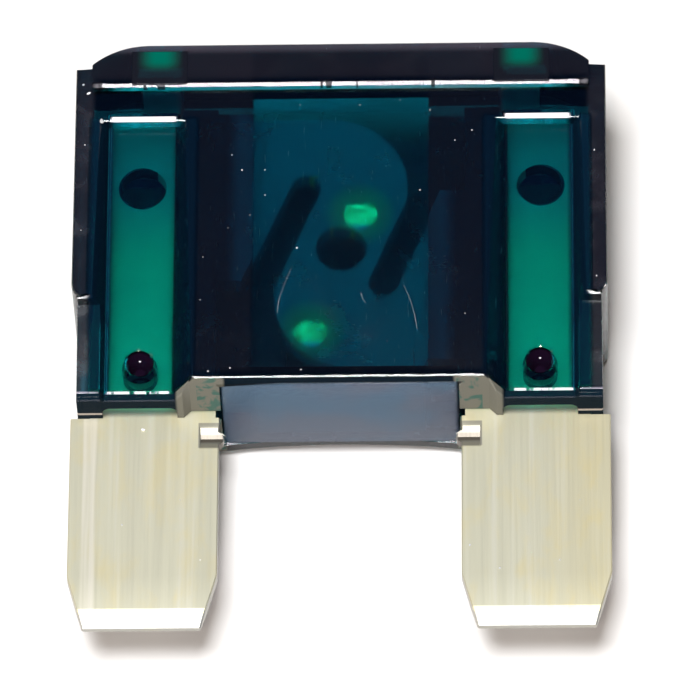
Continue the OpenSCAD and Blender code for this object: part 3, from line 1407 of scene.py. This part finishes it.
@dataclass(frozen=True)
class PhotoCamera:
    """The camera at the photograph's angle and framing.

    Attributes:
        tilt_deg: Lean of the view from straight down towards the blades' side.
        roll_deg: Turn of the picture in its own plane.
        pan_deg: Swing of the view to the right.
        distance: Metres from the aimed point.
        pixels_per_mm: Scale at the aimed point.
        aimed_px: Where the aimed point lies in the picture.
        side_px: The picture's width and height.
        sensor_mm: Sensor width.
        aimed_high_mm: Height of the aimed point on the fuse.
        clipped: Nearest and furthest distance shown, in metres.
    """

    tilt_deg: float = 31.0
    roll_deg: float = 0.406
    pan_deg: float = 1.821
    distance: float = 0.500
    pixels_per_mm: float = 18.42
    aimed_px: tuple[float, float] = (340.949, 357.715)
    side_px: float = 700.0
    sensor_mm: float = 36.0
    aimed_high_mm: float = 3.55
    clipped: tuple[float, float] = (0.01, 20.0)

    def build(self) -> bpy.types.Object:
        """Makes the camera and makes it the scene's own.

        Returns:
            The camera object.
        """
        tilt, roll, pan = (math.radians(a) for a in (self.tilt_deg, self.roll_deg, self.pan_deg))
        back = Vector(
            (math.sin(pan) * math.cos(tilt), -math.sin(tilt), math.cos(pan) * math.cos(tilt))
        )
        along = Vector((0.0, 1.0, 0.0))
        up_level = (along - back * along.dot(back)).normalized()
        right_level = up_level.cross(back)
        right = right_level * math.cos(roll) + up_level * math.sin(roll)
        up = up_level * math.cos(roll) - right_level * math.sin(roll)
        data = bpy.data.cameras.new("photo_camera")
        data.sensor_width = self.sensor_mm
        focal_px = self.pixels_per_mm * self.distance / MM
        data.lens = focal_px / self.side_px * self.sensor_mm
        data.shift_x = (self.side_px / 2 - self.aimed_px[0]) / self.side_px
        data.shift_y = (self.aimed_px[1] - self.side_px / 2) / self.side_px
        data.clip_start, data.clip_end = self.clipped
        camera = bpy.data.objects.new("photo_camera", data)
        turn = Matrix((right, up, back)).transposed().to_4x4()
        stand = place(0.0, self.aimed_high_mm, 0.0) + back * self.distance
        camera.matrix_world = Matrix.Translation(stand) @ turn
        bpy.context.scene.collection.objects.link(camera)
        bpy.context.scene.camera = camera
        return camera


@dataclass(frozen=True)
class SoftLamp:
    """One square soft lamp, aimed at the fuse.

    Attributes:
        name: The lamp's name.
        from_zenith_deg: Angle between the lamp and straight up.
        heading_deg: Where the lamp stands round the fuse; 0 is beyond the cap, +Y, and 90 is +X.
        away: Metres from the fuse.
        side: The lamp's side in metres.
        radiance: How bright its face looks.
        colour: Its colour.
        aimed_high_mm: Height of the point on the fuse that it is aimed at.
    """

    name: str
    from_zenith_deg: float
    heading_deg: float
    away: float
    side: float
    radiance: float
    colour: Colour = (1.0, 1.0, 1.0)
    aimed_high_mm: float = 5.0

    def build(self) -> None:
        """Makes the lamp."""
        data = bpy.data.lights.new(self.name, "AREA")
        data.shape = "SQUARE"
        data.size = self.side
        data.energy = self.radiance * math.pi * self.side**2
        data.color = self.colour
        lamp = bpy.data.objects.new(self.name, data)
        lean, heading = math.radians(self.from_zenith_deg), math.radians(self.heading_deg)
        toward = Vector(
            (math.sin(lean) * math.sin(heading), math.sin(lean) * math.cos(heading), math.cos(lean))
        )
        lamp.location = place(0.0, self.aimed_high_mm, 0.0) + toward * self.away
        lamp.rotation_euler = toward.to_track_quat("Z", "Y").to_euler()
        bpy.context.scene.collection.objects.link(lamp)


@dataclass(frozen=True)
class Studio:
    """The plain pale table, the soft lamps and the room round them.

    Attributes:
        lamps: The lamps.
        table_side: The table's side in metres.
        table_drop: How far the table lies below the fuse, in metres.
        fill: The room's dim light.
        mirrored: What glossy surfaces mirror of the room.
        seen: What the camera sees of it.
    """

    lamps: tuple[SoftLamp, ...] = (
        SoftLamp("key_lamp", 14.0, 205.0, 0.60, 0.20, 41.0),
        SoftLamp("side_lamp", 62.0, 262.0, 0.70, 0.35, 2.2, (1.0, 0.86, 0.68)),
        SoftLamp("front_lamp", 33.0, 183.0, 0.50, 0.03, 90.0, (1.0, 0.88, 0.72)),
        SoftLamp("low_lamp", 58.5, 182.0, 0.50, 0.10, 28.0, (1.0, 0.93, 0.98)),
    )
    table_side: float = 3.0
    table_drop: float = 0.00002
    fill: Colour = (0.12, 0.085, 0.050)
    mirrored: Colour = (0.02, 0.06, 0.17)
    seen: Colour = (1.0, 1.0, 1.0)

    def build(self) -> None:
        """Makes the table, the lamps and the world."""
        half = self.table_side / 2
        mesh = bpy.data.meshes.new("table")
        corners = [(-half, -half), (half, -half), (half, half), (-half, half)]
        mesh.from_pydata([(x, y, -self.table_drop) for x, y in corners], [], [(0, 1, 2, 3)])
        mesh.materials.append(PaleTable().build())
        table = bpy.data.objects.new("table", mesh)
        bpy.context.scene.collection.objects.link(table)
        for lamp in self.lamps:
            lamp.build()
        self._build_room()

    def _build_room(self) -> None:
        """Fills the room with dim light, and shows it white to the camera."""
        world = bpy.data.worlds.new("room")
        world.use_nodes = True
        graph = Graph(world.node_tree)
        path = graph.add("ShaderNodeLightPath", {}, {})
        colour = graph.blend(self.fill, self.mirrored, path.value("Is Glossy Ray"))
        colour = colour.toward(self.seen, path.value("Is Camera Ray"))
        light = graph.add("ShaderNodeBackground", {}, {"Color": colour, "Strength": 1.0})
        graph.add("ShaderNodeOutputWorld", {}, {"Surface": light})
        bpy.context.scene.world = world


# Pieces of the fuse


@dataclass(frozen=True)
class EdgeChoice:
    """Says which edges of a CAD node are rounded; its lengths are in millimetres.

    Attributes:
        sharp_deg: Angle above which an edge counts as sharp.
        below_mm: Only edges lower than this on the fuse are rounded.
        core_mm: Half width, height and half depth of an inner block that is left sharp.
        small: Share of the full width that the edges get that are not lips.
        lips: Height, least depth and share of the full width of each wider edge.
        lip_reach: How far from a lip's height an edge still belongs to it.
    """

    sharp_deg: float = 28.0
    below_mm: float = 100.0
    core_mm: tuple[float, float, float] = (0.0, 0.0, 0.0)
    small: float = 1.0
    lips: tuple[tuple[float, float, float], ...] = ()
    lip_reach: float = 0.2

    def build(self, name: str, marking: bool) -> bpy.types.NodeTree:
        """Makes a node group that clears the stored normals and creases the sharp edges.

        Args:
            name: The group's name.
            marking: Whether it marks the edges to round as well.

        Returns:
            The geometry node group.
        """
        tree = bpy.data.node_groups.new(name, "GeometryNodeTree")
        for way in ("INPUT", "OUTPUT"):
            tree.interface.new_socket("Geometry", in_out=way, socket_type="NodeSocketGeometry")
        graph = Graph(tree)
        angles = graph.add("GeometryNodeInputMeshEdgeAngle", {}, {})
        angle, turn = angles.value("Unsigned Angle"), angles.value("Signed Angle")
        spot = graph.add("GeometryNodeInputPosition", {}, {}).coords() * PER_MM
        spot = spot - tuple(ORIGIN_MM)
        sharp = angle.over(math.radians(self.sharp_deg))
        wide, high, deep = self.core_mm
        outer = abs(spot.x).over(wide).most(abs(spot.z).over(deep)).most(spot.y.over(high))
        width: Number = self.small
        for height, depth, share in self.lips:
            lip = abs(spot.y - height).under(self.lip_reach) * abs(spot.z).over(depth)
            width = lip * share + (1.0 - lip) * width
        convex = turn.over(math.radians(self.sharp_deg))
        chosen = convex * outer * spot.y.under(self.below_mm) * width
        source = graph.add("NodeGroupInput", {}, {})
        plain = graph.add(
            "GeometryNodeSetMeshNormal",
            {"mode": "SHARPNESS"},
            {"Mesh": source, "Remove Custom": True, "Edge Sharpness": sharp},
        )
        marked = graph.add(
            "GeometryNodeStoreNamedAttribute",
            {"data_type": "FLOAT", "domain": "EDGE"},
            {"Geometry": plain, "Name": "bevel_weight_edge", "Value": chosen},
        )
        graph.add("NodeGroupOutput", {}, {0: marked if marking else plain})
        return tree


@dataclass
class CadPart:
    """A node of the CAD frame that gets softened edges and a finish.

    Attributes:
        node: The node's name.
        slot: The record's slot that its finish stands for.
        round_mm: Radius of its softened edges.
        edges: Which of its edges are softened.
        finish: Its finish.
        weld: Distance in metres under which split corners are joined.
    """

    node: str
    slot: Slot
    round_mm: float
    edges: EdgeChoice
    finish: Union[TintedResin, PlatedMetal]
    weld: float = 0.000002

    @property
    def body(self) -> bpy.types.Object:
        """The node's object in the frame."""
        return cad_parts[self.node]

    def soften(self) -> None:
        """Joins the mesh's split corners, clears its stored normals and rounds its edges."""
        weld = self.body.modifiers.new("join_corners", "WELD")
        weld.merge_threshold = self.weld
        marks = self.body.modifiers.new("mark_edges", "NODES")
        marks.node_group = self.edges.build(f"{self.node}_edges", marking=True)
        bevel = self.body.modifiers.new("soft_edges", "BEVEL")
        bevel.width = self.round_mm * MM
        bevel.segments = 1
        bevel.limit_method = "WEIGHT"
        bevel.use_clamp_overlap = False
        level = self.body.modifiers.new("level_faces", "NODES")
        level.node_group = self.edges.build(f"{self.node}_faces", marking=False)

    def dress(self) -> None:
        """Softens the node's edges and puts its finish on it."""
        self.soften()
        material = self.finish.build()
        for entry in self.body.material_slots:
            entry.material = material


@dataclass
class Housing(CadPart):
    """The moulded see-through housing."""

    node: str = "housing"
    slot: Slot = Slot.CLEAR_GREEN
    round_mm: float = 0.30
    edges: EdgeChoice = EdgeChoice(
        core_mm=(13.4, 20.6, 2.0),
        small=0.20,
        lips=((16.5, 3.6, 1.0), (18.35, 4.2, 0.52), (0.0, 2.0, 0.6), (5.1, 3.6, 0.8)),
    )
    finish: TintedResin = TintedResin("clear_green_resin")


@dataclass
class BottomClosure(CadPart):
    """The plate that closes the housing's bottom between the blades."""

    node: str = "bottom_closure"
    slot: Slot = Slot.CLOSURE_GREEN
    round_mm: float = 0.06
    edges: EdgeChoice = EdgeChoice(below_mm=0.5)
    finish: TintedResin = TintedResin(
        "closure_green_resin",
        gloss=0.16,
        bloom=(0.100, 0.165, 0.250),
        clouded=(0.130, 0.160, 0.225),
        veil=0.60,
        shaded_under=0.0,
    )


@dataclass
class FuseElement(CadPart):
    """The stamped element: two blades joined by the thin link."""

    node: str = "fuse_element"
    slot: Slot = Slot.PLATED_ZINC
    round_mm: float = 0.06
    edges: EdgeChoice = EdgeChoice(sharp_deg=9.0, below_mm=-0.45)
    finish: PlatedMetal = PlatedMetal("plated_zinc_drawn")


@dataclass(frozen=True)
class DustLook:
    """Pale lint and grit.

    Attributes:
        name: The material's name.
        pale: Colour of the lightest grains.
        dull: Colour of the darker ones.
        places: Pattern of the pale and dull places.
        pale_levels: Where the dull ones end and the pale ones are full.
        grit: Pattern of the grains' rough skin.
        grit_depth: Metres that its relief stands for.
        rough: Roughness of the smoothest grit, and what the pattern adds.
    """

    name: str = "pale_dust"
    pale: Colour = (0.86, 0.88, 0.92)
    dull: Colour = (0.42, 0.44, 0.46)
    places: Pattern = Pattern(0.8, 2.0)
    pale_levels: Ramp = Ramp(0.40, 0.60)
    grit: Pattern = Pattern(14.0, 3.0, 0.6)
    grit_depth: float = 0.000004
    rough: tuple[float, float] = (0.7, 0.2)

    def build(self) -> bpy.types.Material:
        """Makes the material.

        Returns:
            Rough pale specks.
        """
        material, graph = Graph.of_material(self.name)
        spot = graph.fuse_mm()
        mix = self.pale_levels.on(self.places.on(spot))
        grit = self.grit.on(spot)
        least, more = self.rough
        surface = graph.add(
            "ShaderNodeBsdfPrincipled",
            {},
            {
                "Base Color": graph.blend(self.dull, self.pale, mix),
                "Roughness": grit * more + least,
                "Normal": graph.bump(grit, self.grit_depth),
            },
        )
        graph.finish(surface)
        return material


@dataclass
class Dust:
    """Grains and fibres lying on the front of the fuse.

    Attributes:
        name: The piece's name.
        front_mm: Height of the housing's front face.
        grains_mm: Across, along and half size of each grain on the front face.
        chips_mm: Across, along, height and half size of each grain elsewhere.
        fibres_mm: Points across and along that each fibre on the front face passes.
        fibre_half_mm: Half thickness of a fibre.
        fibre_under: Its depth below its middle, as a share of that.
        longer: Least and greatest length of a grain beside its width.
        rough: Least and greatest distance of its corners, beside its half size.
        flat: Its height beside its width.
        lift: How far its middle lies above the face, beside its half size.
        seed: Seed of the grains' shapes.
        slot: The record's slot that it takes its finish from.
    """

    name: str = "dust"
    front_mm: float = 3.95
    grains_mm: tuple[tuple[float, float, float], ...] = (
        (-5.90, 14.14, 0.035), (-5.34, 13.16, 0.045), (-4.09, 13.15, 0.035),
        (-4.07, 11.54, 0.035), (-2.30, 8.14, 0.060), (-7.02, 0.40, 0.050),
        (-14.10, 18.77, 0.070), (-13.80, 18.20, 0.080), (-13.94, 14.88, 0.040),
        (-4.87, 10.27, 0.030), (-2.02, 0.45, 0.050), (-5.84, 0.59, 0.040),
        (7.19, 15.60, 0.040), (6.26, 14.96, 0.030), (4.36, 11.77, 0.030),
        (13.85, 14.23, 0.040), (13.91, 6.20, 0.040), (-7.51, 4.90, 0.025),
        (1.07, 17.29, 0.035), (-2.21, 17.33, 0.030), (4.90, 16.92, 0.035),
        (3.26, 17.59, 0.030), (-7.39, 7.62, 0.025), (-6.06, 9.46, 0.025),
        (6.80, 3.90, 0.030), (2.60, 2.20, 0.025), (-14.05, 9.40, 0.030),
        (-13.05, 16.38, 0.120),
    )
    chips_mm: tuple[tuple[float, float, float, float], ...] = (
        (-10.66, -1.13, 0.40, 0.110), (-11.69, -7.04, 0.40, 0.045),
        (7.00, -8.47, 0.40, 0.070), (8.60, -9.90, 0.40, 0.060),
        (12.91, -5.74, 0.40, 0.035), (-8.59, -5.52, 0.40, 0.030),
        (11.81, -9.44, 0.40, 0.040), (-7.46, -9.25, 0.40, 0.030),
    )
    fibres_mm: tuple[tuple[tuple[float, float], ...], ...] = (
        ((3.50, 5.70), (3.86, 4.76), (4.09, 3.82), (4.22, 2.95)),
        ((1.18, 5.24), (1.28, 4.87), (1.45, 4.60)),
        ((-2.63, 6.80), (-3.00, 5.76), (-3.27, 4.80), (-3.33, 4.05)),
    )
    fibre_half_mm: float = 0.004
    fibre_under: float = 0.6
    longer: tuple[float, float] = (1.0, 1.8)
    rough: tuple[float, float] = (0.75, 1.15)
    flat: float = 0.5
    lift: float = 0.3
    seed: int = 7
    slot: Slot = Slot.PLATED_ZINC

    def dress(self) -> None:
        """Builds the grains and fibres as one piece that rides on the fuse."""
        draw = random.Random(self.seed)
        shape = bmesh.new()
        for across, along, half in self.grains_mm:
            self._grain(shape, draw, Vector((across, along, self.front_mm)), half)
        for across, along, height, half in self.chips_mm:
            self._grain(shape, draw, Vector((across, along, height)), half)
        for path in self.fibres_mm:
            self._fibre(shape, [Vector((x, y, self.front_mm)) for x, y in path])
        mesh = bpy.data.meshes.new(self.name)
        shape.to_mesh(mesh)
        shape.free()
        mesh.materials.append(DustLook().build())
        piece = bpy.data.objects.new(self.name, mesh)
        bpy.context.scene.collection.objects.link(piece)
        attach(piece, "root")

    def _grain(
        self, shape: bmesh.types.BMesh, draw: random.Random, spot: Vector, half: float
    ) -> None:
        """Adds one rough, flattened grain.

        Args:
            shape: The mesh that it is added to.
            draw: The source of its shape.
            spot: Where it lies, in the fuse's own frame.
            half: About half its size in millimetres.
        """
        made = bmesh.ops.create_icosphere(shape, subdivisions=1, radius=half)
        long, turn = draw.uniform(*self.longer), draw.uniform(0.0, math.pi)
        for vertex in made["verts"]:
            away = vertex.co * draw.uniform(*self.rough)
            away.x *= long
            away.z *= self.flat
            away.rotate(Matrix.Rotation(turn, 3, "Z"))
            vertex.co = place(*(spot + away + UP * (self.lift * half)))

    def _fibre(self, shape: bmesh.types.BMesh, path: Iterable[Vector]) -> None:
        """Adds one thin fibre.

        Args:
            shape: The mesh that it is added to.
            path: The points that it passes, in the fuse's own frame.
        """
        points = list(path)
        rings = []
        for index, point in enumerate(points):
            before, after = points[max(index - 1, 0)], points[min(index + 1, len(points) - 1)]
            side = (after - before).cross(UP).normalized()
            corners = [side, UP, -side, UP * -self.fibre_under]
            spots = [point + corner * self.fibre_half_mm for corner in corners]
            rings.append([shape.verts.new(place(*spot)) for spot in spots])
        for first, second in zip(rings, rings[1:]):
            for corner in range(len(first)):
                beside = (corner + 1) % len(first)
                shape.faces.new((first[corner], first[beside], second[beside], second[corner]))
        shape.faces.new(rings[0][::-1])
        shape.faces.new(rings[-1])
        bmesh.ops.recalc_face_normals(shape, faces=shape.faces)


def main() -> None:
    """Builds the camera, the studio and the fuse's pieces in order."""
    logging.basicConfig(level=logging.INFO, format="%(name)s: %(message)s")
    scene = bpy.context.scene
    scene.view_settings.view_transform = "Standard"
    PhotoCamera().build()
    Studio().build()
    for part in (Housing(), BottomClosure(), FuseElement()):
        part.dress()
        LOG.info("dressed %s for the slot %s", part.node, part.slot.value)
    dust = Dust()
    dust.dress()
    LOG.info("laid %s for the slot %s", dust.name, dust.slot.value)


if __name__ == "__main__":
    main()
